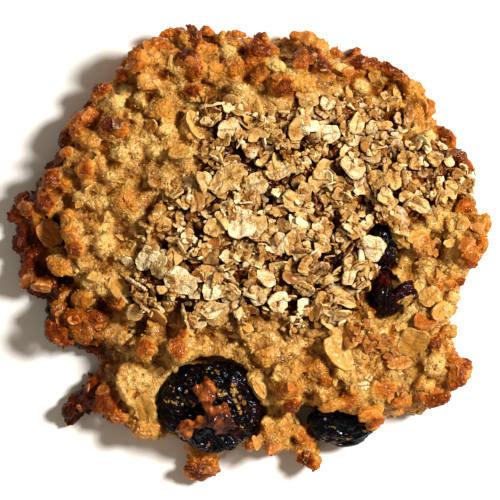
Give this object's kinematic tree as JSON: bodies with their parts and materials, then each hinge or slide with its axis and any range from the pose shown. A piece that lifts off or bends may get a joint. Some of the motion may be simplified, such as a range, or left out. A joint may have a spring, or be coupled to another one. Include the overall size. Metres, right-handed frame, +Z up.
{
  "type": "oatmeal raisin cookie",
  "caption": "Thick rustic oatmeal raisin cookie: a craggy baked mound with browned edges, a heap of rolled oats on top, large wrinkled raisins in it and a flat underside.",
  "frame": {"origin": "middle of the flat underside, where the cookie rests", "axes": "+Z up through the oat heap, +X to the picture's right, +Y to the picture's top"},
  "size_m": [0.0958, 0.0938, 0.0211],
  "materials": {
    "baked_dough": "matte",
    "rolled_oats": "matte",
    "raisin_skin": "satin"
  },
  "bodies": {
    "root": {"cookie": "baked_dough", "dough_scrap": "baked_dough", "raisin_front": "raisin_skin", "raisin_edge": "raisin_skin", "raisin_right": "raisin_skin", "raisin_inner": "raisin_skin"}
  },
  "joints": []
}
